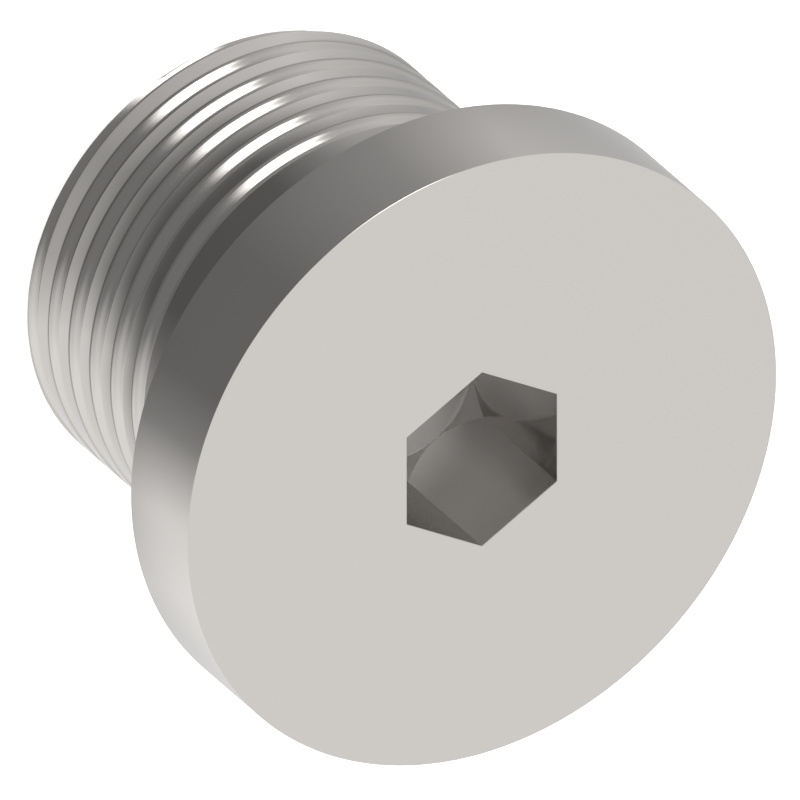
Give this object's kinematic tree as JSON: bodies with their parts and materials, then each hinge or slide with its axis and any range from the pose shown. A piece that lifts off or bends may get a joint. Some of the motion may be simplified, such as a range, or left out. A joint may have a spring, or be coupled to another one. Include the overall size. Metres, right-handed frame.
{
  "type": "hex plug",
  "caption": "Screw plug with a thin round head, a hexagon socket, a plain neck and a short shank with a fine right-hand thread.",
  "frame": {"origin": "on the axis, in the plane of the underside of the head, where the plug seats", "axes": "+Z along the axis, out of the face of the head; +Y through a corner of the hexagon socket"},
  "size_m": [0.024, 0.024, 0.0175],
  "materials": {
    "steel": "finely turned and polished"
  },
  "bodies": {
    "root": {"plug": "steel"}
  },
  "joints": []
}
